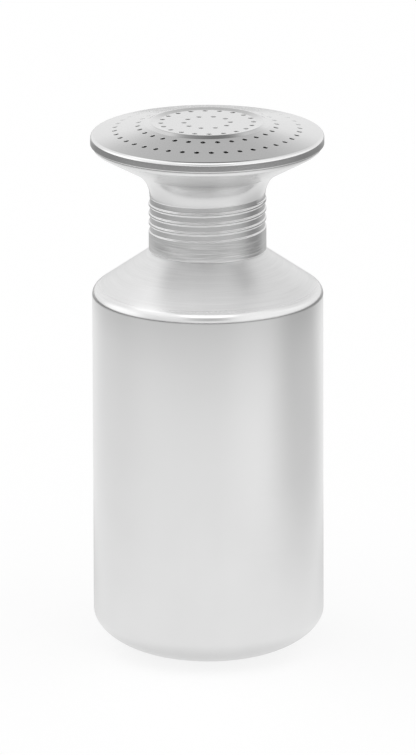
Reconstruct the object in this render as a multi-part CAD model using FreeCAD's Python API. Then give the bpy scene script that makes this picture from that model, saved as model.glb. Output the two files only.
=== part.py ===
import FreeCAD, Part
import math
import os

from FreeCAD import Vector

# An aluminium shaker: a spun bottle with a threaded neck, a funnel head that screws
# down over the neck, a perforated plate pressed over the funnel's mouth, and a soft
# ring that seals the neck inside the head.
# All lengths are millimetres. The Z axis is the axis of turning and z = 0 is the table.

# Bottle
bottle_radius = 40.0
bottle_wall = 1.0
standing_ring_radius = 16.0
shoulder_edge_height = 128.7
shoulder_edge_round = 3.8
shoulder_slope_deg = 34.9
base_corner_height = 14.0
base_corner_power = 1.8
base_corner_points = 9
push_up_radius = 6.5
push_up_run = 3.0
push_up_depth = 1.2
push_up_round = 2.0
neck_wall = 0.9
neck_foot_round = 0.8
mouth_round = 0.3

# Skirt of the head and the rolled thread that it shares with the neck
skirt_radius = 20.35
skirt_wall = 0.9
skirt_height = 18.1
skirt_edge_gap = 0.1
thread_pitch = 3.3
thread_depth = 0.45
outer_ridge_top = 0.6
outer_ridge_foot = 1.4
inner_groove_mouth = 1.4
inner_groove_root = 1.0
thread_radial_gap = 0.15
thread_axial_gap = 0.2
band_height = 7.4
thread_start_deg = -220.0
outer_groove_run_out = 1.18
inner_ridge_stop = 2.62
neck_ridge_stop = 1.42
overrun = 0.25

# Funnel
throat_set_in = 0.35
throat_step_height = 0.5
throat_height = 0.1
flare_round = 11.1
flare_slope_deg = 28.6
funnel_wall = 1.4
rim_set_in = 0.42
rim_round = 1.7
rim_height = 4.1
rim_lip_round = 0.65

# Seal ring
seal_thickness = 1.0
seal_face_gap = 0.1
seal_side_gap = 0.15

# Perforated plate
plate_sheet = 0.8
plate_fit_gap = 0.02
plate_edge_round = 1.4
plate_skirt_height = 3.23
dome_slope_deg = 11.2
disc_land = 1.0
bead_climb_width = 2.6
bead_crest_height = 0.45
bead_fall_width = 1.9
bead_foot_drop = 0.42
bead_round = 1.2
hole_radius = 0.9
outer_holes_set_in = 8.4
first_ring_hole_count = 10
hole_ring_count = 4
first_hole_turn_deg = 2.5

# Radii and heights that follow from the sizes above
skirt_bore = skirt_radius - skirt_wall
thread_bore = skirt_bore - thread_depth
neck_crest = skirt_bore - thread_radial_gap
neck_radius = thread_bore - thread_radial_gap
mouth_radius = neck_radius - neck_wall
base_corner_width = bottle_radius - standing_ring_radius
rim_radius = bottle_radius - rim_set_in
shoulder_rise = math.tan(math.radians(shoulder_slope_deg))
flare_rise = math.tan(math.radians(flare_slope_deg))
dome_fall = math.tan(math.radians(dome_slope_deg))


def shoulder_height(radius):
    return shoulder_edge_height + (bottle_radius - radius) * shoulder_rise


skirt_foot = shoulder_height(skirt_bore) + skirt_edge_gap
skirt_top = skirt_foot + skirt_height
throat_radius = skirt_radius - throat_set_in
throat_foot = skirt_top + throat_step_height
flare_reach = flare_round * math.tan(math.radians(90 - flare_slope_deg) / 2)
flare_corner = throat_foot + throat_height + flare_reach
rim_corner = flare_corner + (rim_radius - throat_radius) * flare_rise
rim_top = rim_corner + rim_height
mouth_height = throat_foot - seal_thickness - 2 * seal_face_gap
thread_start_height = skirt_foot + band_height
neck_ridge_start_height = thread_start_height - thread_pitch / 2
outer_groove_turns = (skirt_top + outer_groove_run_out - thread_start_height) / thread_pitch
inner_ridge_turns = (throat_foot - inner_ridge_stop - thread_start_height) / thread_pitch
neck_ridge_turns = (mouth_height - neck_ridge_stop - neck_ridge_start_height) / thread_pitch
plate_radius = rim_radius + plate_fit_gap + plate_sheet
hole_ring_step = (plate_radius - outer_holes_set_in) / hole_ring_count
disc_radius = 2 * hole_ring_step + disc_land
bead_crest_radius = disc_radius + bead_climb_width
bead_foot_radius = bead_crest_radius + bead_fall_width
plate_edge = (
    rim_top
    + plate_fit_gap
    + plate_sheet / math.cos(math.radians(dome_slope_deg))
    - (plate_radius - rim_radius) * dome_fall
)
disc_height = plate_edge + (plate_radius - bead_foot_radius) * dome_fall + bead_foot_drop


def point(radius, height):
    return Vector(radius, 0, height)


def rounded_edges(corners):
    """Lines through the corners (radius, height, rounding), with an arc at each rounded one."""
    edges = []
    start = point(corners[0][0], corners[0][1])
    for before, corner, after in zip(corners, corners[1:], corners[2:]):
        here = point(corner[0], corner[1])
        if corner[2] == 0:
            edges.append(Part.LineSegment(start, here).toShape())
            start = here
            continue
        back = (point(before[0], before[1]) - here).normalize()
        ahead = (point(after[0], after[1]) - here).normalize()
        half_angle = back.getAngle(ahead) / 2
        reach = corner[2] / math.tan(half_angle)
        inward = (back + ahead).normalize()
        middle = here + inward * (corner[2] / math.sin(half_angle) - corner[2])
        edges.append(Part.LineSegment(start, here + back * reach).toShape())
        edges.append(Part.Arc(here + back * reach, middle, here + ahead * reach).toShape())
        start = here + ahead * reach
    edges.append(Part.LineSegment(start, point(corners[-1][0], corners[-1][1])).toShape())
    return edges


def turned(edges):
    """The solid that a closed outline makes when it is turned about the Z axis."""
    wire = Part.Wire(Part.__sortEdges__(edges))
    return Part.Face(wire).revolve(Vector(0, 0, 0), Vector(0, 0, 1), 360)


def closed(corners):
    return rounded_edges(corners + [corners[0]])


def parallel(corners, wall):
    """The corners of a sheet's other face, on the left of its path and one wall away."""
    runs = [point(b[0] - a[0], b[1] - a[1]).normalize() for a, b in zip(corners, corners[1:])]
    sides = [Vector(-run.z, 0, run.x) for run in runs]
    moved = []
    for number, corner in enumerate(corners):
        first = sides[max(number - 1, 0)]
        second = sides[min(number, len(sides) - 1)]
        shift = (first + second) * (wall / (1 + first.dot(second)))
        turn = first.cross(second).y
        rounding = corner[2]
        if turn != 0:
            rounding += wall if turn > 0 else -wall
        moved.append((corner[0] + shift.x, corner[1] + shift.z, rounding))
    return moved


def helical_ridge(foot_radius, foot_width, top_radius, top_width, turns, start_height):
    """A ridge or a cutter of four-sided section that climbs to the right round the Z axis.

    It is joined from lengths of less than one turn each, end to end.
    """
    section = Part.makePolygon(
        [
            point(foot_radius, -foot_width / 2),
            point(top_radius, -top_width / 2),
            point(top_radius, top_width / 2),
            point(foot_radius, foot_width / 2),
            point(foot_radius, -foot_width / 2),
        ]
    )
    count = math.floor(turns) + 1
    climb = thread_pitch * turns / count
    path = Part.Wire(Part.makeHelix(thread_pitch, climb, foot_radius).Edges)
    lengths = []
    for number in range(count):
        length = path.makePipeShell([section], True, True)
        length.rotate(Vector(0, 0, 0), Vector(0, 0, 1), thread_start_deg + 360 * turns * number / count)
        length.translate(Vector(0, 0, start_height + climb * number))
        lengths.append(length)
    return lengths[0].fuse(lengths[1:])


def base_curve(floor, width, height):
    """The bottle's rounded base corner, from its standing ring out to its wall."""
    places = []
    for number in range(base_corner_points):
        angle = math.pi / 2 * number / (base_corner_points - 1)
        out = math.sin(angle) ** (2 / base_corner_power)
        up = 1 - math.cos(angle) ** (2 / base_corner_power)
        places.append(point(standing_ring_radius + width * out, floor + height * up))
    curve = Part.BSplineCurve()
    curve.interpolate(Points=places, InitialTangent=Vector(1, 0, 0), FinalTangent=Vector(0, 0, 1))
    return curve.toShape()


def bottle():
    underside = [
        (0, push_up_depth, 0),
        (push_up_radius, push_up_depth, push_up_round),
        (push_up_radius + push_up_run, 0, push_up_round),
        (standing_ring_radius, 0, 0),
    ]
    outside = [
        (bottle_radius, base_corner_height, 0),
        (bottle_radius, shoulder_edge_height, shoulder_edge_round),
        (neck_radius, shoulder_height(neck_radius), neck_foot_round),
        (neck_radius, mouth_height, mouth_round),
        (mouth_radius, mouth_height, mouth_round),
    ]
    inner_wall = bottle_radius - bottle_wall
    shell_rise = bottle_wall / math.cos(math.radians(shoulder_slope_deg))
    inner_edge = shoulder_edge_height + bottle_wall * shoulder_rise - shell_rise
    inner_foot = shoulder_height(mouth_radius) - shell_rise
    inside = [
        (mouth_radius, inner_foot, neck_foot_round + bottle_wall),
        (inner_wall, inner_edge, shoulder_edge_round - bottle_wall),
        (inner_wall, base_corner_height, 0),
    ]
    topside = [
        (standing_ring_radius, bottle_wall, 0),
        (push_up_radius + push_up_run, bottle_wall, push_up_round),
        (push_up_radius, push_up_depth + bottle_wall, push_up_round),
        (0, push_up_depth + bottle_wall, 0),
    ]
    edges = rounded_edges(underside)
    edges.append(base_curve(0, base_corner_width, base_corner_height))
    edges += rounded_edges(outside + inside)
    edges.append(
        base_curve(bottle_wall, base_corner_width - bottle_wall, base_corner_height - bottle_wall)
    )
    edges += rounded_edges(topside)
    edges.append(Part.LineSegment(point(0, push_up_depth + bottle_wall), point(0, push_up_depth)).toShape())
    shell = turned(edges)
    flank = (inner_groove_mouth - inner_groove_root) / 2 / thread_depth
    crest_width = inner_groove_root + 2 * flank * thread_radial_gap - 2 * thread_axial_gap
    foot_reach = neck_crest - neck_radius + overrun
    ridge = helical_ridge(
        neck_radius - overrun,
        crest_width + 2 * flank * foot_reach,
        neck_crest,
        crest_width,
        neck_ridge_turns,
        neck_ridge_start_height,
    )
    return shell.fuse(ridge)


def head_funnel():
    flare = [
        (throat_radius, throat_foot, 0),
        (throat_radius, flare_corner, flare_round),
        (rim_radius, rim_corner, rim_round),
        (rim_radius, rim_top, rim_lip_round),
    ]
    inner_flare = parallel(flare, funnel_wall)
    outline = [
        (skirt_bore, skirt_foot, 0),
        (skirt_radius, skirt_foot, 0),
        (skirt_radius, skirt_top, 0),
    ]
    outline += flare
    outline += inner_flare[::-1]
    outline.append((skirt_bore, throat_foot, 0))
    shell = turned(closed(outline))
    groove = helical_ridge(
        skirt_radius - thread_depth,
        thread_pitch - outer_ridge_foot,
        skirt_radius + overrun,
        thread_pitch - outer_ridge_top + (outer_ridge_foot - outer_ridge_top) / thread_depth * overrun,
        outer_groove_turns,
        thread_start_height,
    )
    flank = (inner_groove_mouth - inner_groove_root) / 2 / thread_depth
    ridge = helical_ridge(
        skirt_bore + overrun,
        thread_pitch - inner_groove_root + 2 * flank * overrun,
        thread_bore,
        thread_pitch - inner_groove_mouth,
        inner_ridge_turns,
        thread_start_height,
    )
    return shell.cut(groove).fuse(ridge)


def ring_of_holes(ring):
    """Drills for one ring of the plate's holes, spaced evenly round the Z axis."""
    count = first_ring_hole_count * ring
    length = disc_height + bead_crest_height - rim_corner
    drills = []
    for number in range(count):
        drill = Part.makeCylinder(hole_radius, length, Vector(hole_ring_step * ring, 0, rim_corner))
        drill.rotate(Vector(0, 0, 0), Vector(0, 0, 1), first_hole_turn_deg + 360 * number / count)
        drills.append(drill)
    return drills


def sprinkle_plate():
    top = [
        (0, disc_height, 0),
        (disc_radius, disc_height, bead_round),
        (bead_crest_radius, disc_height + bead_crest_height, bead_round),
        (bead_foot_radius, disc_height - bead_foot_drop, bead_round),
        (plate_radius, plate_edge, plate_edge_round),
        (plate_radius, plate_edge - plate_skirt_height, 0),
    ]
    sheet = turned(closed(top + parallel(top, -plate_sheet)[::-1]))
    drills = []
    for ring in range(1, hole_ring_count + 1):
        drills += ring_of_holes(ring)
    return sheet.cut(Part.makeCompound(drills))


def mouth_seal():
    inner = mouth_radius
    outer = skirt_bore - seal_side_gap
    foot = mouth_height + seal_face_gap
    top = foot + seal_thickness
    return turned(closed([(inner, foot, 0), (outer, foot, 0), (outer, top, 0), (inner, top, 0)]))


parts = {
    "bottle": bottle(),
    "mouth_seal": mouth_seal(),
    "head_funnel": head_funnel(),
    "sprinkle_plate": sprinkle_plate(),
}
os.makedirs("parts", exist_ok=True)
for name, shape in parts.items():
    print(name, shape.isValid(), len(shape.Solids), round(shape.Volume, 2), shape.BoundBox)
    shape.exportStep("parts/" + name + ".step")
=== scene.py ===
import math

import bmesh
import bpy
from mathutils import Matrix, Vector


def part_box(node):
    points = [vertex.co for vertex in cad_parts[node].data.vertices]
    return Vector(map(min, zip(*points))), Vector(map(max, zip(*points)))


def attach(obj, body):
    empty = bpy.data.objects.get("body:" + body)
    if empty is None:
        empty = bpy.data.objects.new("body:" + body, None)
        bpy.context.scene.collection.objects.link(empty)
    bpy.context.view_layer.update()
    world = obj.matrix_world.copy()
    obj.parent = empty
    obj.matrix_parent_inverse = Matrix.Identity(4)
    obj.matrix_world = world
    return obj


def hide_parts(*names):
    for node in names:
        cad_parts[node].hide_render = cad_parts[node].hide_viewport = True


# An aluminium shaker: a spun bottle, a funnel head that screws over its neck, and a
# perforated plate pressed over the funnel's rim. Lengths are metres and +Z is up.

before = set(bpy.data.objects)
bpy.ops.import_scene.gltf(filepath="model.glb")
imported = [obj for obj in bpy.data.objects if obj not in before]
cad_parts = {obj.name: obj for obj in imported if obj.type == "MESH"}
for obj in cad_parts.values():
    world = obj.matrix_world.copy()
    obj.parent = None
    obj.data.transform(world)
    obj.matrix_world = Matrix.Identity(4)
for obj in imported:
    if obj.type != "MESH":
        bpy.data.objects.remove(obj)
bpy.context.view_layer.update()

mm = 0.001

# Places that the frame gives
bottle_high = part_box("bottle")[1]
head_low, head_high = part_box("head_funnel")
plate_low, plate_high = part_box("sprinkle_plate")
bottle_radius = bottle_high.x
mouth_height = bottle_high.z
skirt_foot = head_low.z
rim_radius = head_high.x
rim_top = head_high.z
plate_radius = plate_high.x
plate_foot = plate_low.z

# Bottle
bottle_wall = 1.0 * mm
shoulder_edge_round = 3.8 * mm
shoulder_slope = math.radians(34.9)
standing_ring_radius = 16.0 * mm
base_corner_height = 14.0 * mm
base_corner_power = 1.8
base_corner_steps = 40
push_up_radius = 6.5 * mm
push_up_run = 3.0 * mm
push_up_depth = 1.2 * mm
push_up_round = 2.0 * mm
neck_radius = 18.85 * mm
neck_wall = 0.9 * mm
neck_foot_round = 0.8 * mm
mouth_round = 0.3 * mm
shoulder_edge_height = 128.7 * mm

# Thread
thread_pitch = 3.3 * mm
thread_start_angle = math.radians(-220)
thread_fade_turns = 0.12
band_height = 7.4 * mm
thread_row = 0.11 * mm
inner_row = 0.2 * mm
outer_depth = 0.45 * mm
outer_half_width = 1.15 * mm
outer_flank = 0.4 * mm
outer_turns = 3.6
outer_reach = 0.4 * mm
inner_depth = 0.45 * mm
inner_half_width = 1.05 * mm
inner_flank = 0.2 * mm
inner_turns = 2.6
neck_ridge_depth = 0.45 * mm
neck_ridge_half_width = 0.467 * mm
neck_ridge_flank = 0.2 * mm
neck_ridge_turns = 3.1
thin_reach = 0.05 * mm

# Head
skirt_radius = 20.35 * mm
skirt_wall = 0.9 * mm
skirt_height = 18.1 * mm
skirt_edge_round = 0.15 * mm
throat_radius = 20.0 * mm
throat_step_height = 0.5 * mm
throat_height = 0.1 * mm
flare_round = 11.1 * mm
flare_slope = math.radians(28.6)
funnel_wall = 1.4 * mm
rim_round = 1.7 * mm
rim_height = 4.1 * mm
rim_lip_round = 0.65 * mm

# Plate
plate_sheet = 0.8 * mm
plate_fit_gap = 0.02 * mm
plate_edge_round = 1.4 * mm
dome_slope = math.radians(11.2)
disc_land = 1.0 * mm
bead_climb_width = 2.6 * mm
bead_crest_height = 0.45 * mm
bead_fall_width = 1.9 * mm
bead_foot_drop = 0.42 * mm
bead_round = 1.2 * mm
hole_radius = 0.9 * mm
hole_ring_step = 8.0 * mm
first_ring_hole_count = 10
hole_ring_count = 4
first_hole_turn = math.radians(2.5)
hole_band = 1.25 * mm
hole_edge_bevel = 0.08 * mm
cell_loop_shares = (0, 0.12, 0.34, 0.64, 1)

segments = 240
arc_step = math.radians(6)
arc_chord = 0.3 * mm
arc_end_strip = 0.12 * mm
least_arc_steps = 3
least_free_run = 3 * arc_end_strip
least_cell_steps = 5
seam_angle = math.radians(1)
smooth_angle = math.radians(50)
bevel_angle = math.radians(60)
bevel_segments = 2
merge_distance = 0.002 * mm

skirt_top = skirt_foot + skirt_height
throat_foot = skirt_top + throat_step_height
skirt_bore = skirt_radius - skirt_wall
thread_start = skirt_foot + band_height


# Outlines of the turned pieces

def rounded(corners):
    """Points (radius, height) through corners (radius, height, rounding), with arcs at these.

    A point just past each arc keeps the straight faces beside it shaded as straight.
    """
    places = [Vector(corner[:2]) for corner in corners]
    reaches = [0.0]
    for before, here, after, corner in zip(places, places[1:], places[2:], corners[1:]):
        reaches.append(corner[2] / math.tan((before - here).angle(after - here) / 2))
    reaches.append(0.0)
    free = []
    for number in range(len(places) - 1):
        run = (places[number + 1] - places[number]).length
        free.append(run - reaches[number] - reaches[number + 1])
    points = [places[0]]
    for number in range(1, len(places) - 1):
        here, rounding, reach = places[number], corners[number][2], reaches[number]
        if rounding == 0:
            points.append(here)
            continue
        back = (places[number - 1] - here).normalized()
        ahead = (places[number + 1] - here).normalized()
        centre = here + (back + ahead).normalized() * (rounding / math.sin(back.angle(ahead) / 2))
        first = here + back * reach - centre
        turn = first.angle_signed(here + ahead * reach - centre)
        turn_steps = math.ceil(abs(turn) / arc_step)
        chord_steps = math.ceil(abs(turn) * rounding / arc_chord)
        steps = max(least_arc_steps, turn_steps, chord_steps)
        if free[number - 1] > least_free_run:
            points.append(here + back * (reach + arc_end_strip))
        for step in range(steps + 1):
            points.append(centre + Matrix.Rotation(-turn * step / steps, 2) @ first)
        if free[number] > least_free_run:
            points.append(here + ahead * (reach + arc_end_strip))
    points.append(places[-1])
    return [tuple(point) for point in points]


def offset(corners, wall):
    """The corners of a sheet's other face, on the left of its path and one wall away."""
    runs = [(Vector(b[:2]) - Vector(a[:2])).normalized() for a, b in zip(corners, corners[1:])]
    sides = [Vector((-run.y, run.x)) for run in runs]
    moved = []
    for number, corner in enumerate(corners):
        first = sides[max(number - 1, 0)]
        second = sides[min(number, len(sides) - 1)]
        shift = (first + second) * (wall / (1 + first.dot(second)))
        turn = first.x * second.y - first.y * second.x
        rounding = corner[2]
        if turn != 0:
            rounding += wall if turn < 0 else -wall
        moved.append((corner[0] + shift.x, corner[1] + shift.y, rounding))
    return moved


def with_rows(points, radius, reach, low, high, row):
    """The same outline, with its upright runs near one radius cut into rows between two heights."""
    dense = [points[0]]
    for before, after in zip(points, points[1:]):
        level = abs(after[1] - before[1]) < merge_distance
        if level or max(abs(before[0] - radius), abs(after[0] - radius)) > reach:
            dense.append(after)
            continue
        stops = [before[1], after[1]]
        stops += [stop for stop in (low, high) if min(stops) < stop < max(stops)]
        stops.sort(reverse=before[1] > after[1])
        heights = []
        for start, end in zip(stops, stops[1:]):
            middle = (start + end) / 2
            count = math.ceil(abs(end - start) / row) if low < middle < high else 1
            heights += [start + (end - start) * step / count for step in range(1, count + 1)]
        for height in heights:
            share = (height - before[1]) / (after[1] - before[1])
            dense.append((before[0] + (after[0] - before[0]) * share, height))
    return dense


def base_corner(floor, width, height):
    """The rounded corner from the standing ring out and up to the wall."""
    points = []
    for step in range(base_corner_steps + 1):
        angle = math.pi / 2 * step / base_corner_steps
        out = math.sin(angle) ** (2 / base_corner_power)
        up = 1 - math.cos(angle) ** (2 / base_corner_power)
        points.append((standing_ring_radius + width * out, floor + height * up))
    return points


def bottle_outline():
    """From the axis underneath, up the outside, over the mouth and down the inside to the axis."""
    rise = math.tan(shoulder_slope)
    wall_rise = bottle_wall / math.cos(shoulder_slope)
    inner_wall = bottle_radius - bottle_wall
    inner_edge_height = shoulder_edge_height + bottle_wall * rise - wall_rise
    mouth_radius = neck_radius - neck_wall
    width = bottle_radius - standing_ring_radius
    foot_radius = push_up_radius + push_up_run

    def shoulder_height(radius):
        return shoulder_edge_height + (bottle_radius - radius) * rise

    under = rounded([
        (0, push_up_depth, 0),
        (push_up_radius, push_up_depth, push_up_round),
        (foot_radius, 0, push_up_round),
        (standing_ring_radius, 0, 0),
    ])
    walls = rounded([
        (bottle_radius, base_corner_height, 0),
        (bottle_radius, base_corner_height + arc_end_strip, 0),
        (bottle_radius, shoulder_edge_height, shoulder_edge_round),
        (neck_radius, shoulder_height(neck_radius), neck_foot_round),
        (neck_radius, mouth_height, mouth_round),
        (mouth_radius, mouth_height, mouth_round),
        (mouth_radius, shoulder_height(mouth_radius) - wall_rise, neck_foot_round + bottle_wall),
        (inner_wall, inner_edge_height, shoulder_edge_round - bottle_wall),
        (inner_wall, base_corner_height + arc_end_strip, 0),
        (inner_wall, base_corner_height, 0),
    ])
    over = rounded([
        (standing_ring_radius, bottle_wall, 0),
        (foot_radius, bottle_wall, push_up_round),
        (push_up_radius, push_up_depth + bottle_wall, push_up_round),
        (0, push_up_depth + bottle_wall, 0),
    ])
    outer_corner = base_corner(0, width, base_corner_height)
    inner_corner = base_corner(bottle_wall, width - bottle_wall, base_corner_height - bottle_wall)
    outline = under[:-1] + outer_corner + walls[1:-1] + inner_corner[::-1] + over[1:]
    return with_rows(outline, neck_radius, thin_reach, skirt_foot, mouth_height, thread_row)


def funnel_outline():
    """Closed, from the foot of the bore round the outside of skirt and flare, over the rim and back."""
    flare_reach = flare_round * math.tan((math.pi / 2 - flare_slope) / 2)
    flare_corner = throat_foot + throat_height + flare_reach
    rim_corner = rim_top - rim_height
    flare = [
        (throat_radius, throat_foot, 0),
        (throat_radius, flare_corner, flare_round),
        (rim_radius, rim_corner, rim_round),
        (rim_radius, rim_top, rim_lip_round),
    ]
    inner = offset(flare, funnel_wall)[::-1]
    corners = [
        (skirt_bore, skirt_foot, skirt_edge_round),
        (skirt_radius, skirt_foot, skirt_edge_round),
        (skirt_radius, skirt_top, skirt_edge_round),
    ]
    corners += flare + inner + [(skirt_bore, throat_foot, 0)]
    start = (skirt_bore, (skirt_foot + skirt_top) / 2, 0)
    outline = rounded([start] + corners + [start])
    low = thread_start - outer_half_width - outer_flank
    high = thread_start + outer_turns * thread_pitch + outer_half_width + outer_flank
    outline = with_rows(outline, skirt_radius, outer_reach, low, high, thread_row)
    return with_rows(outline, skirt_bore, thin_reach, low, high, inner_row)


def plate_corners():
    """The plate's upper face, from its middle to the foot of its skirt."""
    fall = math.tan(dome_slope)
    disc_radius = 2 * hole_ring_step + disc_land
    crest_radius = disc_radius + bead_climb_width
    foot_radius = crest_radius + bead_fall_width
    sheet_rise = plate_sheet / math.cos(dome_slope)
    edge_height = rim_top + plate_fit_gap + sheet_rise - (plate_radius - rim_radius) * fall
    disc_height = edge_height + (plate_radius - foot_radius) * fall + bead_foot_drop
    return [
        (0, disc_height, 0),
        (disc_radius, disc_height, bead_round),
        (crest_radius, disc_height + bead_crest_height, bead_round),
        (foot_radius, disc_height - bead_foot_drop, bead_round),
        (plate_radius, edge_height, plate_edge_round),
        (plate_radius, plate_foot + 2 * arc_end_strip, 0),
        (plate_radius, plate_foot, 0),
    ]


# Sums on node sockets, for shapes and materials alike

class Field:
    """A node's output that can be used in Python sums, each of which adds its Math node."""

    def __init__(self, tree, socket):
        self.tree = tree
        self.socket = socket

    def __add__(self, other):
        return self.tree.sum("ADD", self, other)

    def __sub__(self, other):
        return self.tree.sum("SUBTRACT", self, other)

    def __rsub__(self, other):
        return self.tree.sum("SUBTRACT", other, self)

    def __mul__(self, other):
        return self.tree.sum("MULTIPLY", self, other)

    def __truediv__(self, other):
        return self.tree.sum("DIVIDE", self, other)

    def __rtruediv__(self, other):
        return self.tree.sum("DIVIDE", other, self)

    def __abs__(self):
        return self.tree.sum("ABSOLUTE", self)

    __radd__ = __add__
    __rmul__ = __mul__


class Tree:
    """A node tree, for materials or for Geometry Nodes, that is written as calls and sums."""

    def __init__(self, tree):
        self.tree = tree

    def add(self, kind, settings=None, inputs=None):
        """A new node: its settings first, then the values or links of its sockets."""
        node = self.tree.nodes.new(kind)
        for name, value in (settings or {}).items():
            if name == "stops":
                self.set_stops(node.color_ramp, value)
            else:
                setattr(node, name, value)
        for name, value in (inputs or {}).items():
            self.feed(node.inputs[name], value)
        return node

    def set_stops(self, ramp, stops):
        while len(ramp.elements) < len(stops):
            ramp.elements.new(1)
        for element, (position, shade) in zip(ramp.elements, stops):
            element.position = position
            element.color = (shade, shade, shade, 1)

    def feed(self, socket, value):
        if isinstance(value, Field):
            self.tree.links.new(value.socket, socket)
        else:
            socket.default_value = value

    def out(self, node, name=0):
        return Field(self, node.outputs[name])

    def sum(self, operation, *values):
        node = self.add("ShaderNodeMath", {"operation": operation}, dict(enumerate(values)))
        return self.out(node)

    def smooth(self, value, low, high):
        """0 below low, 1 above high, and an even curve between them."""
        settings = {"interpolation_type": "SMOOTHSTEP"}
        limits = {"Value": value, "From Min": low, "From Max": high}
        return self.out(self.add("ShaderNodeMapRange", settings, limits))

    def split(self, vector):
        node = self.add("ShaderNodeSeparateXYZ", None, {0: vector})
        return [self.out(node, axis) for axis in range(3)]

    def join(self, x, y, z):
        return self.out(self.add("ShaderNodeCombineXYZ", None, {0: x, 1: y, 2: z}))


# Geometry Nodes for what is turned, what is threaded and what repeats round the axis

def new_geometry_tree(name, inputs):
    """A tree with a geometry in and out and the named number inputs, and its input fields."""
    group = bpy.data.node_groups.new(name, "GeometryNodeTree")
    group.interface.new_socket("Geometry", in_out="INPUT", socket_type="NodeSocketGeometry")
    group.interface.new_socket("Geometry", in_out="OUTPUT", socket_type="NodeSocketGeometry")
    for title, kind in inputs.items():
        group.interface.new_socket(title, in_out="INPUT", socket_type="NodeSocket" + kind)
    tree = Tree(group)
    start = tree.add("NodeGroupInput")
    fields = {title: tree.out(start, title) for title in ["Geometry", *inputs]}
    return tree, fields


def finish_geometry_tree(tree, geometry, material):
    painted = tree.add("GeometryNodeSetMaterial", None, {"Geometry": geometry, "Material": material})
    end = tree.add("NodeGroupOutput")
    tree.feed(end.inputs[0], tree.out(painted))


def turning_tree():
    """Turns an outline, given as a row of points (radius, 0, height), about the Z axis."""
    tree, fields = new_geometry_tree(
        "turned_outline",
        {"Segments": "Int", "Seam Angle": "Float", "Merge Distance": "Float", "Material": "Material"},
    )
    size = tree.add("GeometryNodeAttributeDomainSize", None, {"Geometry": fields["Geometry"]})
    rows = tree.out(size, "Point Count")
    columns = fields["Segments"] + 1
    grid = tree.add(
        "GeometryNodeMeshGrid",
        None,
        {"Size X": 1, "Size Y": 1, "Vertices X": columns, "Vertices Y": rows},
    )
    x, y, z = tree.split(tree.out(tree.add("GeometryNodeInputPosition")))
    angle = (x + 0.5) * math.tau + fields["Seam Angle"]
    row = tree.sum("ROUND", (y + 0.5) * (rows - 1))
    sample = tree.add(
        "GeometryNodeSampleIndex",
        {"data_type": "FLOAT_VECTOR"},
        {"Geometry": fields["Geometry"], "Index": row},
    )
    tree.feed(sample.inputs["Value"], tree.out(tree.add("GeometryNodeInputPosition")))
    radius, flat, height = tree.split(tree.out(sample))
    place = tree.join(radius * tree.sum("COSINE", angle), radius * tree.sum("SINE", angle), height)
    turned = tree.add(
        "GeometryNodeSetPosition",
        None,
        {"Geometry": tree.out(grid, "Mesh"), "Position": place},
    )
    merge = tree.add(
        "GeometryNodeMergeByDistance",
        None,
        {"Geometry": tree.out(turned), "Distance": fields["Merge Distance"]},
    )
    finish_geometry_tree(tree, tree.out(merge), fields["Material"])
    return tree.tree


def threading_tree():
    """Moves one round wall in or out along a right-hand helix that fades in and out at its ends."""
    tree, fields = new_geometry_tree(
        "helical_thread",
        {
            "Wall Radius": "Float",
            "Wall Reach": "Float",
            "Depth": "Float",
            "Half Width": "Float",
            "Flank": "Float",
            "Pitch": "Float",
            "Turns": "Float",
            "Fade Turns": "Float",
            "Start Height": "Float",
            "Start Angle": "Float",
            "Material": "Material",
        },
    )
    x, y, z = tree.split(tree.out(tree.add("GeometryNodeInputPosition")))
    radius = tree.sum("SQRT", x * x + y * y)
    swing = (tree.sum("ARCTAN2", y, x) - fields["Start Angle"]) / math.tau
    part_turn = swing - tree.sum("FLOOR", swing)
    climb = (z - fields["Start Height"]) / fields["Pitch"] - part_turn
    nearest = tree.sum("ROUND", climb)
    along = nearest + part_turn
    aside = abs(climb - nearest) * fields["Pitch"]
    half_width, half_flank = fields["Half Width"], fields["Flank"] / 2
    across = 1 - tree.smooth(aside, half_width - half_flank, half_width + half_flank)
    fade = tree.smooth(along, 0, fields["Fade Turns"])
    fade = fade * tree.smooth(fields["Turns"] - along, 0, fields["Fade Turns"])
    moved = fields["Wall Radius"] + fields["Depth"] * across * fade
    outward = tree.sum("GREATER_THAN", fields["Depth"], 0)
    further = tree.sum("MAXIMUM", radius, moved)
    nearer = tree.sum("MINIMUM", radius, moved)
    reached = further * outward + nearer * (1 - outward)
    near = tree.sum("LESS_THAN", abs(radius - fields["Wall Radius"]), fields["Wall Reach"])
    grow = (reached - radius) / radius * near * tree.sum("GREATER_THAN", across * fade, 0)
    shift = tree.join(x * grow, y * grow, 0)
    threaded = tree.add(
        "GeometryNodeSetPosition",
        None,
        {"Geometry": fields["Geometry"], "Offset": shift},
    )
    finish_geometry_tree(tree, tree.out(threaded), fields["Material"])
    return tree.tree


def ring_tree():
    """Copies one cell round the Z axis, evenly spaced."""
    tree, fields = new_geometry_tree(
        "ring_of_cells",
        {"Count": "Int", "First Turn": "Float", "Merge Distance": "Float", "Material": "Material"},
    )
    points = tree.add("GeometryNodePoints", None, {"Count": fields["Count"]})
    number = tree.out(tree.add("GeometryNodeInputIndex"))
    turn = tree.join(0, 0, number / fields["Count"] * math.tau + fields["First Turn"])
    cells = tree.add(
        "GeometryNodeInstanceOnPoints",
        None,
        {"Points": tree.out(points), "Instance": fields["Geometry"], "Rotation": turn},
    )
    solid = tree.add("GeometryNodeRealizeInstances", None, {"Geometry": tree.out(cells)})
    merge = tree.add(
        "GeometryNodeMergeByDistance",
        None,
        {"Geometry": tree.out(solid), "Distance": fields["Merge Distance"]},
    )
    finish_geometry_tree(tree, tree.out(merge), fields["Material"])
    return tree.tree


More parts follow.
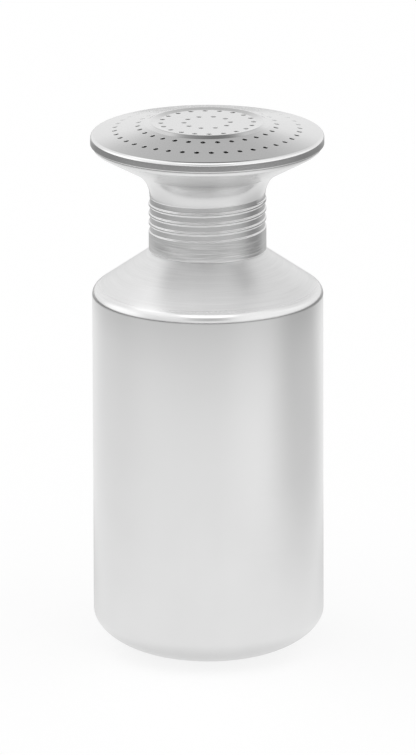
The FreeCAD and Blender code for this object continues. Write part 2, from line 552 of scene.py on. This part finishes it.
def add_nodes(piece, tree, values):
    """Puts a Geometry Nodes tree on a piece and sets its named inputs."""
    modifier = piece.modifiers.new(tree.name, "NODES")
    modifier.node_group = tree
    for item in tree.interface.items_tree:
        if item.in_out == "INPUT" and item.name in values:
            modifier[item.identifier] = values[item.name]


def new_piece(name, points, edges=(), faces=()):
    mesh = bpy.data.meshes.new(name)
    mesh.from_pydata(points, edges, faces)
    piece = bpy.data.objects.new(name, mesh)
    bpy.context.scene.collection.objects.link(piece)
    return piece


def settled(piece):
    """Turns a piece's modifiers into its plain mesh."""
    graph = bpy.context.evaluated_depsgraph_get()
    mesh = bpy.data.meshes.new_from_object(piece.evaluated_get(graph))
    piece.modifiers.clear()
    old = piece.data
    piece.data = mesh
    bpy.data.meshes.remove(old)
    return piece


def faced_outwards(piece):
    """Merges doubles, points the faces outwards and shades them smooth up to the smooth angle."""
    work = bmesh.new()
    work.from_mesh(piece.data)
    bmesh.ops.remove_doubles(work, verts=work.verts, dist=merge_distance)
    bmesh.ops.recalc_face_normals(work, faces=work.faces)
    work.to_mesh(piece.data)
    work.free()
    piece.data.polygons.foreach_set("use_smooth", [True] * len(piece.data.polygons))
    piece.data.set_sharp_from_angle(angle=smooth_angle)
    return piece


turning = turning_tree()
threading = threading_tree()
ringing = ring_tree()


def turned_piece(name, outline, material):
    """A piece turned from its outline, with its turning tree still live."""
    points = [(radius, 0, height) for radius, height in outline]
    piece = new_piece(name, points, [(number, number + 1) for number in range(len(points) - 1)])
    values = {
        "Segments": segments,
        "Seam Angle": seam_angle,
        "Merge Distance": merge_distance,
        "Material": material,
    }
    add_nodes(piece, turning, values)
    return piece


def add_thread(piece, material, wall, reach, depth, half_width, flank, turns, start_height):
    values = {
        "Wall Radius": wall,
        "Wall Reach": reach,
        "Depth": depth,
        "Half Width": half_width,
        "Flank": flank,
        "Pitch": thread_pitch,
        "Turns": turns,
        "Fade Turns": thread_fade_turns,
        "Start Height": start_height,
        "Start Angle": thread_start_angle,
        "Material": material,
    }
    add_nodes(piece, threading, values)


def make_bottle(material):
    piece = turned_piece("bottle_shell", bottle_outline(), material)
    add_thread(
        piece,
        material,
        neck_radius,
        thin_reach,
        neck_ridge_depth,
        neck_ridge_half_width,
        neck_ridge_flank,
        neck_ridge_turns,
        thread_start - thread_pitch / 2,
    )
    return faced_outwards(settled(piece))


def make_funnel(material):
    piece = turned_piece("funnel_head", funnel_outline(), material)
    add_thread(
        piece,
        material,
        skirt_radius,
        outer_reach,
        -outer_depth,
        outer_half_width,
        outer_flank,
        outer_turns,
        thread_start,
    )
    add_thread(
        piece,
        material,
        skirt_bore,
        thin_reach,
        -inner_depth,
        inner_half_width,
        inner_flank,
        inner_turns,
        thread_start,
    )
    return faced_outwards(settled(piece))


def height_on(outline, radius):
    """The height of the plate's upper face at a radius, where that face is not steep."""
    for before, after in zip(outline, outline[1:]):
        if before[0] <= radius <= after[0] and after[0] > before[0]:
            share = (radius - before[0]) / (after[0] - before[0])
            return before[1] + (after[1] - before[1]) * share
    raise ValueError("the plate has no face at this radius")


def hole_cell(name, ring_radius, count, outline):
    """One sector of the plate round one hole, meshed in loops from its border to the hole."""
    across = segments // count
    down = max(across // 2, least_cell_steps)
    half = math.pi / count
    low, high = ring_radius - hole_band, ring_radius + hole_band
    border = [(low, -half + 2 * half * step / across) for step in range(across)]
    border += [(low + (high - low) * step / down, half) for step in range(down)]
    border += [(high, half - 2 * half * step / across) for step in range(across)]
    border += [(high - (high - low) * step / down, -half) for step in range(down)]
    points, faces = [], []
    total = len(border)
    for share in cell_loop_shares:
        for number, (radius, angle) in enumerate(border):
            turn = math.pi + math.pi * (across - 2 * number) / total
            x = radius * math.cos(angle)
            y = radius * math.sin(angle)
            hole_x = ring_radius + hole_radius * math.cos(turn)
            hole_y = hole_radius * math.sin(turn)
            x += (hole_x - x) * (1 - share)
            y += (hole_y - y) * (1 - share)
            points.append((x, y, height_on(outline, math.hypot(x, y))))
    for loop in range(len(cell_loop_shares) - 1):
        for number in range(total):
            after = (number + 1) % total
            a, b = loop * total + number, loop * total + after
            faces.append((a, b, b + total, a + total))
    return new_piece(name, points, [], faces)


def make_plate(material):
    outline = rounded(plate_corners())
    bands = [ring * hole_ring_step for ring in range(1, hole_ring_count + 1)]
    parts = []
    for number, ring_radius in enumerate(bands, 1):
        count = first_ring_hole_count * number
        cell = hole_cell("plate_cells_%d" % number, ring_radius, count, outline)
        values = {
            "Count": count,
            "First Turn": first_hole_turn,
            "Merge Distance": merge_distance,
            "Material": material,
        }
        add_nodes(cell, ringing, values)
        parts.append(settled(cell))
    starts = [0] + [radius + hole_band for radius in bands]
    ends = [radius - hole_band for radius in bands] + [None]
    for number, (low, high) in enumerate(zip(starts, ends), 1):
        stretch = [point for point in outline if low < point[0] and (high is None or point[0] < high)]
        stretch.insert(0, (low, height_on(outline, low)))
        if high is not None:
            stretch.append((high, height_on(outline, high)))
        parts.append(settled(turned_piece("plate_band_%d" % number, stretch, material)))
    plate = joined("perforated_plate", parts, material)
    faced_outwards(plate)
    if sum(face.normal.z * face.area for face in plate.data.polygons) < 0:
        plate.data.flip_normals()
    sheet = plate.modifiers.new("sheet", "SOLIDIFY")
    sheet.thickness = plate_sheet
    sheet.offset = -1
    sheet.use_even_offset = True
    bevel = plate.modifiers.new("edges", "BEVEL")
    bevel.limit_method = "ANGLE"
    bevel.angle_limit = bevel_angle
    bevel.width = hole_edge_bevel
    bevel.segments = bevel_segments
    return faced_outwards(settled(plate))


def joined(name, parts, material):
    """One piece from several, which are taken away."""
    work = bmesh.new()
    for part in parts:
        work.from_mesh(part.data)
        bpy.data.objects.remove(part)
    mesh = bpy.data.meshes.new(name)
    work.to_mesh(mesh)
    work.free()
    mesh.materials.append(material)
    piece = bpy.data.objects.new(name, mesh)
    bpy.context.scene.collection.objects.link(piece)
    return piece


# Materials

metal_shade = 0.88
# wall_shade is below metal_shade, so the bottle's shoulder is painted lighter than its wall: painted
# light
wall_shade = 0.78
# How much darker the flare is painted than the skirt and its thread: painted shade
flare_painted_shade_drop = 0.14
wall_roughness = 0.2
spun_roughness = 0.36
thread_roughness = 0.13
flare_roughness = 0.24
plate_roughness = 0.15
plain_anisotropy = 0.0
turned_anisotropy = 0.3
turned_rotation = 0.25

# How strongly the turned lines show on each part
wall_line_share = 0.08
spun_line_gain = 0.85
head_line_share = 0.35
band_line_gain = 2.0
flat_line_share = 0.1

# Where one finish passes into the next, and where the painted shoulder light and painted flare shade
# begin, from the shoulder's edge and from the skirt's top and band
spun_start_below = 2.0 * mm
spun_lines_above = 1.0 * mm
spun_rough_start = 0.5 * mm
spun_rough_end = 3.0 * mm
flare_start_below = 1.0 * mm
flare_end_above = 2.0 * mm
band_fade = 2.0 * mm

# Lines, patches, grain and wear
noise_middle = 0.5
soft_detail = 2.0
rich_detail = 3.0
line_breaks = 1.6
fine_line_scale = 2300.0
broad_line_scale = 620.0
fine_line_share = 0.55
line_tone = 0.22
line_roughness = 0.2
line_depth = 0.007 * mm
drawn_line_count = 30.0
drawn_line_scale = 12.0
drawn_tone = 0.012
drawn_height = 0.04
cloud_scale = 42.0
cloud_tone = 0.08
cloud_roughness = 0.14
grain_scale = 1900.0
grain_tone = 0.03
grain_roughness = 0.06
grain_height = 0.15
worn_tone = 0.05
worn_smoothness = 0.05
worn_core_share = 0.3
shoulder_worn_rise = 1.2 * mm
shoulder_worn_width = 2.2 * mm
skirt_worn_width = 0.7 * mm
rim_worn_width = 1.2 * mm
plate_worn_width = 1.4 * mm
bump_strength = 1.0

# Rubber of the seal
rubber_grain_scale = 1400.0
rubber_shades = ((0.3, 0.44), (0.7, 0.52))
rubber_roughness = 0.6
rubber_roughness_gain = 0.2
rubber_bump_strength = 0.4
rubber_bump_depth = 0.02 * mm


def new_material(name):
    material = bpy.data.materials.new(name)
    material.use_nodes = True
    material.node_tree.nodes.clear()
    return material, Tree(material.node_tree)


def grey(tree, value):
    return tree.out(tree.add("ShaderNodeCombineColor", None, {0: value, 1: value, 2: value}))


def noise(tree, vector, scale, detail):
    settings = {"Vector": vector, "Scale": scale, "Detail": detail}
    return tree.out(tree.add("ShaderNodeTexNoise", None, settings))


def line_noise(tree, along, around, scale, detail):
    """Lines across a turned face, fine along its outline and slowly broken round the axis."""
    x, y = around
    where = tree.join(along * scale, x * line_breaks, y * line_breaks)
    return noise(tree, where, 1.0, detail) - noise_middle


def satin_aluminium(name, zone_roughness, anisotropy, line_share, zone_tone, worn_edges):
    """Aluminium with turned lines, drawing marks, cloudy patches, a grain and bright worn edges."""
    material, tree = new_material(name)
    place = tree.out(tree.add("ShaderNodeTexCoord"), "Object")
    x, y, z = tree.split(place)
    radius = tree.sum("SQRT", x * x + y * y)
    around = (x / radius, y / radius)
    along = z - radius
    share = line_share(tree, z)
    fine = line_noise(tree, along, around, fine_line_scale, rich_detail)
    broad = line_noise(tree, along, around, broad_line_scale, soft_detail)
    lines = fine * fine_line_share + broad * (1 - fine_line_share)
    turns = [part * drawn_line_count for part in around]
    drawn_place = tree.join(turns[0], turns[1], z * drawn_line_scale)
    drawn = noise(tree, drawn_place, 1.0, soft_detail) - noise_middle
    cloud = noise(tree, place, cloud_scale, rich_detail) - noise_middle
    grain = noise(tree, place, grain_scale, soft_detail) - noise_middle
    worn = 0.0
    for edge_radius, edge_height, width in worn_edges:
        out, up = radius - edge_radius, z - edge_height
        away = tree.sum("SQRT", out * out + up * up)
        near = 1 - tree.smooth(away, width * worn_core_share, width)
        worn = near * (1 + broad) + worn
    tone = lines * share * line_tone + drawn * drawn_tone
    tone = tone + cloud * cloud_tone + grain * grain_tone + worn * worn_tone + zone_tone(tree, z)
    rough = fine * share * line_roughness + cloud * cloud_roughness + grain * grain_roughness
    rough = rough + zone_roughness(tree, z) - worn * worn_smoothness
    height = lines * share + grain * grain_height + drawn * drawn_height
    bump = tree.add(
        "ShaderNodeBump",
        None,
        {"Strength": bump_strength, "Distance": line_depth, "Height": height},
    )
    shader = tree.add(
        "ShaderNodeBsdfPrincipled",
        None,
        {
            "Base Color": grey(tree, tone),
            "Metallic": 1.0,
            "Roughness": rough,
            "Anisotropic": anisotropy,
            "Anisotropic Rotation": turned_rotation,
            "Normal": tree.out(bump),
        },
    )
    end = tree.add("ShaderNodeOutputMaterial")
    tree.feed(end.inputs["Surface"], tree.out(shader))
    return material


def bottle_line_share(tree, z):
    low, high = shoulder_edge_height - spun_start_below, shoulder_edge_height + spun_lines_above
    return tree.smooth(z, low, high) * spun_line_gain + wall_line_share


def funnel_line_share(tree, z):
    band_top = skirt_foot + band_height
    return (1 - tree.smooth(z, band_top - band_fade, band_top)) * band_line_gain + head_line_share


def plate_line_share(tree, z):
    return flat_line_share


# Painted light: the shoulder, from just below its edge upwards, is given a lighter tone than the wall.
def bottle_tone_with_painted_shoulder_light(tree, z):
    spun = tree.smooth(z, shoulder_edge_height - spun_start_below, shoulder_edge_height)
    return spun * (metal_shade - wall_shade) + wall_shade


# Painted shade: the flare above the skirt's top is given a darker tone than the skirt and its thread.
def funnel_tone_with_painted_flare_shade(tree, z):
    flare = tree.smooth(z, skirt_top, skirt_top + flare_end_above)
    return metal_shade - flare * flare_painted_shade_drop


def plate_zone_tone(tree, z):
    return metal_shade


def bottle_zone_roughness(tree, z):
    low, high = shoulder_edge_height + spun_rough_start, shoulder_edge_height + spun_rough_end
    return tree.smooth(z, low, high) * (spun_roughness - wall_roughness) + wall_roughness


def funnel_zone_roughness(tree, z):
    flare = tree.smooth(z, skirt_top - flare_start_below, skirt_top + flare_end_above)
    return flare * (flare_roughness - thread_roughness) + thread_roughness


def plate_zone_roughness(tree, z):
    return plate_roughness


def seal_rubber():
    material, tree = new_material("seal_rubber")
    place = tree.out(tree.add("ShaderNodeTexCoord"), "Object")
    grain = noise(tree, place, rubber_grain_scale, rich_detail)
    tint = tree.add("ShaderNodeValToRGB", {"stops": rubber_shades}, {0: grain})
    bump = tree.add(
        "ShaderNodeBump",
        None,
        {"Strength": rubber_bump_strength, "Distance": rubber_bump_depth, "Height": grain},
    )
    shader = tree.add(
        "ShaderNodeBsdfPrincipled",
        None,
        {
            "Base Color": tree.out(tint),
            "Roughness": rubber_roughness + grain * rubber_roughness_gain,
            "Normal": tree.out(bump),
        },
    )
    end = tree.add("ShaderNodeOutputMaterial")
    tree.feed(end.inputs["Surface"], tree.out(shader))
    return material


bottle_aluminium = satin_aluminium(
    "bottle_aluminium",
    bottle_zone_roughness,
    plain_anisotropy,
    bottle_line_share,
    bottle_tone_with_painted_shoulder_light,
    [(bottle_radius, shoulder_edge_height + shoulder_worn_rise, shoulder_worn_width)],
)
funnel_aluminium = satin_aluminium(
    "funnel_aluminium",
    funnel_zone_roughness,
    turned_anisotropy,
    funnel_line_share,
    funnel_tone_with_painted_flare_shade,
    [
        (skirt_radius, skirt_foot, skirt_worn_width),
        (rim_radius, rim_top - rim_height, rim_worn_width),
    ],
)
plate_aluminium = satin_aluminium(
    "plate_aluminium",
    plate_zone_roughness,
    plain_anisotropy,
    plate_line_share,
    plate_zone_tone,
    [(plate_radius, rim_top, plate_worn_width)],
)

bottle = make_bottle(bottle_aluminium)
funnel = make_funnel(funnel_aluminium)
plate = make_plate(plate_aluminium)

for piece, body, node, slot in (
    (bottle, "bottle", "bottle", "bottle_aluminium"),
    (funnel, "head", "head_funnel", "funnel_aluminium"),
    (plate, "head", "sprinkle_plate", "plate_aluminium"),
):
    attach(piece, body)
    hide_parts(node)

rubber = seal_rubber()
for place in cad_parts["mouth_seal"].material_slots:
    place.material = rubber


# Studio

floor_size = 6.0
floor_shade = 0.95
floor_camera_share = 0.66
floor_white = 1.11
floor_gloss_share = 0.8
floor_level = 1.0
aim_height = 0.15
# The camera sees plain white. Reflections see soft panels, light and dark, whose strengths were
# fitted to the photograph's light and dark zones and then changed. Azimuths are degrees
# from the camera's side, positive to its right. Each wall panel is full within the first angle
# from its middle and gone beyond the second.
white_light = (1, 1, 1, 1)
wall_level = 0.85
wall_panels = (
    # name, azimuth, elevation, full angle, gone angle, strength
    ("overhead", 180, 86, 6, 26, -0.25),
    ("front_top", 0, 68, 6, 24, 0.5),
    ("front_high", 0, 36, 6, 26, -0.35),
    ("front_low", 0, 2, 6, 24, 0.1),
    ("front_right", 50, 10, 12, 34, 0.15),
    ("back_top", 180, 66, 5, 24, -0.55),
    ("back_high", 180, 40, 5, 24, -0.35),
    ("left_top", -80, 60, 8, 34, 0.12),
    ("right_top", 80, 60, 8, 34, 0.08),
    ("right_high", 135, 46, 8, 36, -0.12),
    ("left_low", -95, 8, 8, 36, 0.3),
    ("right_low", 95, 8, 8, 36, 0.1),
)
# In reflections the floor glows, and these rings paint that glow darker from the table's edge outwards:
# a painted falloff of light.
floor_rings = (
    # name, start, end (metres from the middle; full from there outwards), strength
    ("table_edge", 0.465, 0.53, -0.58),
    ("beyond_table", 0.58, 0.66, -0.3),
)
floor_patches = (
    # name, x, y, full radius, gone radius (metres), strength
    # under is a painted contact shadow beneath the bottle, and behind is painted shade behind it; both
    # are seen in reflections, not by the camera.
    ("under", 0, 0, 0.03, 0.046, -0.15),
    ("behind", 0, 0.11, 0.05, 0.13, -0.25),
    ("right", 0.4, 0.1, 0.1, 0.36, -0.3),
    ("left", -0.4, 0.1, 0.1, 0.36, -0.1),
    ("right_front", 0.3, -0.3, 0.05, 0.28, 0.1),
    ("back_far", 0, 1.6, 0.5, 1.2, 0.5),
)
softboxes = (
    # name, azimuth, elevation, distance, width, height, power in watts
    ("left_softbox", -118, 60, 1.5, 0.6, 0.6, 0.25),
)


def towards(azimuth, elevation):
    """The direction of an azimuth, from the camera's side, and an elevation."""
    turn, rise = math.radians(azimuth), math.radians(elevation)
    return Vector((math.sin(turn) * math.cos(rise), -math.cos(turn) * math.cos(rise), math.sin(rise)))


def named_share(tree, name, mask, strength):
    """A mask times its strength, on a node that carries its name."""
    settings = {"operation": "MULTIPLY", "label": name}
    return tree.out(tree.add("ShaderNodeMath", settings, {0: mask, 1: strength}))


def seen_rays(tree):
    """1 where the floor or studio is looked at straight or through a piece, 0 in a reflection."""
    paths = tree.add("ShaderNodeLightPath")
    return tree.out(paths, "Is Camera Ray") + tree.out(paths, "Is Transmission Ray")


def make_floor():
    """A plain white table that keeps the object's shadow; in reflections it glows, softly shaded with
    painted light and shade.
    """
    half = floor_size / 2
    corners = [(-half, -half, 0), (half, -half, 0), (half, half, 0), (-half, half, 0)]
    floor = new_piece("floor", corners, [], [(0, 1, 2, 3)])
    material, tree = new_material("white_floor")
    x, y, z = tree.split(tree.out(tree.add("ShaderNodeTexCoord"), "Object"))
    away = tree.sum("SQRT", x * x + y * y)
    level = floor_level
    for name, start, end, strength in floor_rings:
        level = level + named_share(tree, name, tree.smooth(away, start, end), strength)
    for name, patch_x, patch_y, full, gone, strength in floor_patches:
        side, ahead = x - patch_x, y - patch_y
        away = tree.sum("SQRT", side * side + ahead * ahead)
        level = level + named_share(tree, name, 1 - tree.smooth(away, full, gone), strength)
    seen = seen_rays(tree)
    floor_colour = (floor_shade, floor_shade, floor_shade, 1)
    matt = tree.add("ShaderNodeBsdfDiffuse", None, {"Color": floor_colour})
    glow = seen * floor_white + (1 - seen) * level
    bright = tree.add("ShaderNodeEmission", None, {"Color": white_light, "Strength": glow})
    share = seen * floor_camera_share + (1 - seen) * floor_gloss_share
    mix = tree.add("ShaderNodeMixShader", None, {0: share})
    tree.feed(mix.inputs[1], tree.out(matt))
    tree.feed(mix.inputs[2], tree.out(bright))
    end = tree.add("ShaderNodeOutputMaterial")
    tree.feed(end.inputs["Surface"], tree.out(mix))
    floor.data.materials.append(material)


def make_world():
    """A white studio whose walls are softly shaded, and plain white behind the object."""
    world = bpy.data.worlds.new("studio")
    bpy.context.scene.world = world
    world.use_nodes = True
    world.node_tree.nodes.clear()
    tree = Tree(world.node_tree)
    x, y, z = tree.split(tree.out(tree.add("ShaderNodeTexCoord"), "Generated"))
    level = wall_level
    for name, azimuth, elevation, full, gone, strength in wall_panels:
        middle = towards(azimuth, elevation)
        facing = x * middle.x + y * middle.y + z * middle.z
        mask = tree.smooth(facing, math.cos(math.radians(gone)), math.cos(math.radians(full)))
        level = level + named_share(tree, name, mask, strength)
    seen = seen_rays(tree)
    shown = seen + (1 - seen) * tree.sum("MAXIMUM", level, 0)
    sky = tree.add("ShaderNodeBackground", None, {"Color": white_light, "Strength": shown})
    end = tree.add("ShaderNodeOutputWorld")
    tree.feed(end.inputs["Surface"], tree.out(sky))


def make_softboxes():
    for name, azimuth, elevation, distance, width, height, power in softboxes:
        data = bpy.data.lights.new(name, "AREA")
        data.shape = "RECTANGLE"
        data.size = width
        data.size_y = height
        data.energy = power
        lamp = bpy.data.objects.new(name, data)
        bpy.context.scene.collection.objects.link(lamp)
        way = towards(azimuth, elevation)
        aim = way.to_track_quat("Z", "Y").to_matrix().to_4x4()
        lamp.matrix_world = Matrix.Translation(way * distance + Vector((0, 0, aim_height))) @ aim
        lamp.visible_camera = False


# Camera, fitted to the photograph of 416 x 755 pixels: metres, radians and a lens in millimetres

camera_distance = 4.410
camera_height = 1.33183
camera_pitch = 0.27309
camera_roll = -0.00321
camera_lens = 630.03
camera_clip_start = 0.1
camera_clip_end = 50


def make_camera():
    data = bpy.data.cameras.new("camera")
    data.lens = camera_lens
    data.clip_start = camera_clip_start
    data.clip_end = camera_clip_end
    camera = bpy.data.objects.new("camera", data)
    bpy.context.scene.collection.objects.link(camera)
    place = Matrix.Translation((0, -camera_distance, camera_height))
    tilt = Matrix.Rotation(math.pi / 2 - camera_pitch, 4, "X")
    camera.matrix_world = place @ tilt @ Matrix.Rotation(camera_roll, 4, "Z")
    bpy.context.scene.camera = camera


make_floor()
make_world()
make_softboxes()
make_camera()
bpy.context.scene.view_settings.view_transform = "Standard"
